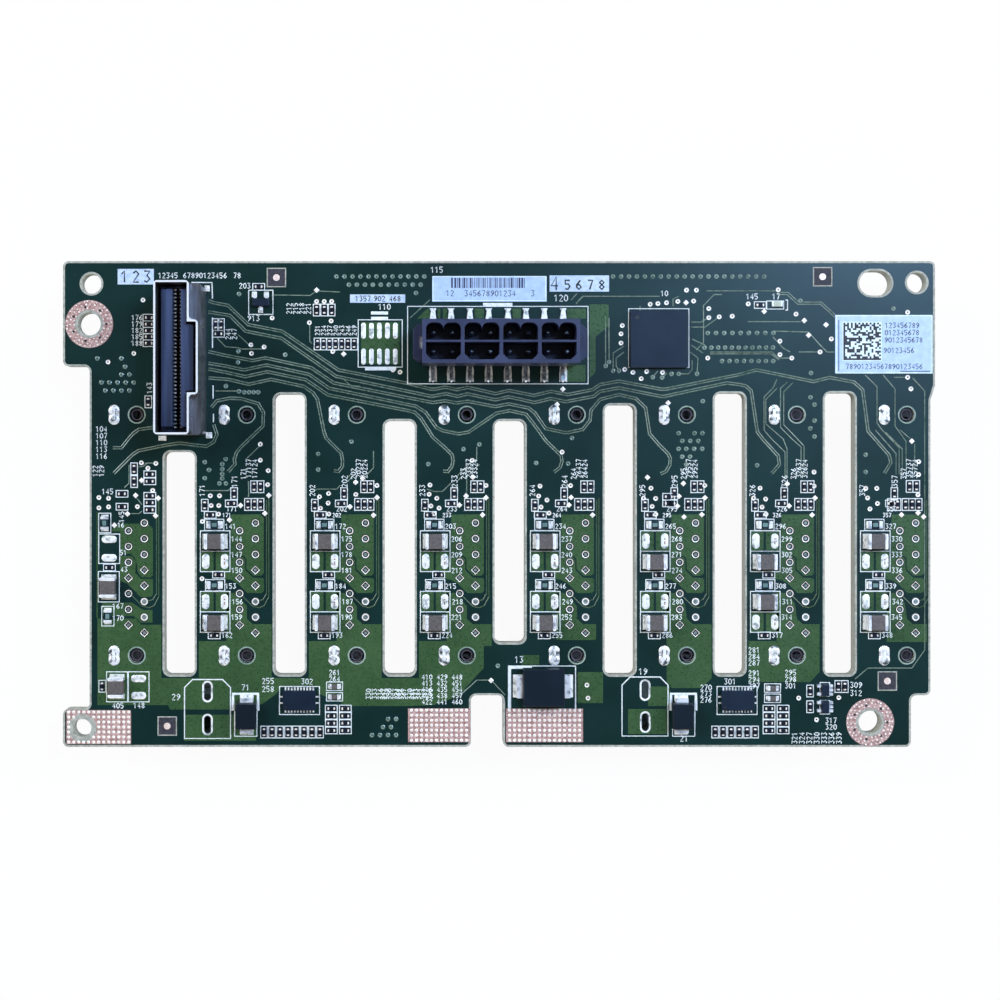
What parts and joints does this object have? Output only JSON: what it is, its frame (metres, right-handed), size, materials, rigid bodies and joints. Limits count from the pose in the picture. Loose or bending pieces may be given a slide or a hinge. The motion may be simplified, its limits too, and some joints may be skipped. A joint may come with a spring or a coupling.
{
  "type": "drive backplane board",
  "caption": "Rigid circuit board with drive sockets on its underside and a cable socket, power header and chips on its rear face, slotted for air between the bays.",
  "frame": {"origin": "under the middle of the board's outline, on the plane of the drive sockets' mating faces", "axes": "+X along the row of bays to the right as seen from the rear face, +Y to the edge with the cable socket, +Z out of the rear face"},
  "size_m": [0.141, 0.0786, 0.0214],
  "materials": {
    "solder_mask": "epoxy laminate under dark green semi-gloss solder mask",
    "copper_pour": "the same mask over copper, lighter and more olive",
    "bare_laminate": "routed edge of glass epoxy, matt",
    "legend_ink": "white legend ink, matt",
    "solder": "satin solder",
    "bare_copper": "pinkish bare copper with tin bumps",
    "gilt_contact": "thin gold plate",
    "tinned_pin": "satin tin plate",
    "socket_sheet": "nickel-plated sheet",
    "black_moulding": "glass-filled thermoplastic, fine matt",
    "blue_black_moulding": "glass-filled nylon, satin",
    "chip_moulding": "epoxy moulding compound, matt",
    "capacitor_ceramic": "grey-brown fired ceramic",
    "resistor_glaze": "dark glaze",
    "lamp_lens": "clear resin over phosphor",
    "label_paper": "coated label stock",
    "label_print": "thermal print"
  },
  "bodies": {
    "root": {"asset_label": "label_paper", "board_locks": "solder", "cable_socket_contacts": "gilt_contact", "cable_socket_insert": "black_moulding", "cable_socket_shell": "socket_sheet", "chip_capacitors": "capacitor_ceramic", "chip_resistors": "resistor_glaze", "circuit_board": "solder_mask", "clamp_diode": "chip_moulding", "clamp_diode_leads": "tinned_pin", "controller_chip": "chip_moulding", "drive_contacts_1": "gilt_contact", "drive_contacts_2": "gilt_contact", "drive_contacts_3": "gilt_contact", "drive_contacts_4": "gilt_contact", "drive_contacts_5": "gilt_contact", "drive_contacts_6": "gilt_contact", "drive_contacts_7": "gilt_contact", "drive_contacts_8": "gilt_contact", "drive_socket_1": "black_moulding", "drive_socket_2": "black_moulding", "drive_socket_3": "black_moulding", "drive_socket_4": "black_moulding", "drive_socket_5": "black_moulding", "drive_socket_6": "black_moulding", "drive_socket_7": "black_moulding", "drive_socket_8": "black_moulding", "gate_bodies": "chip_moulding", "gate_legs": "tinned_pin", "left_diode": "chip_moulding", "left_diode_leads": "tinned_pin", "left_power_chip": "chip_moulding", "power_header_body": "blue_black_moulding", "power_header_hold_downs": "tinned_pin", "power_header_pins": "tinned_pin", "right_diode": "chip_moulding", "right_diode_leads": "tinned_pin", "right_power_chip": "chip_moulding", "serial_label": "label_paper", "status_lamp_ends": "tinned_pin", "status_lamp_lens": "lamp_lens", "transistor_body": "chip_moulding", "transistor_legs": "tinned_pin"}
  },
  "joints": []
}
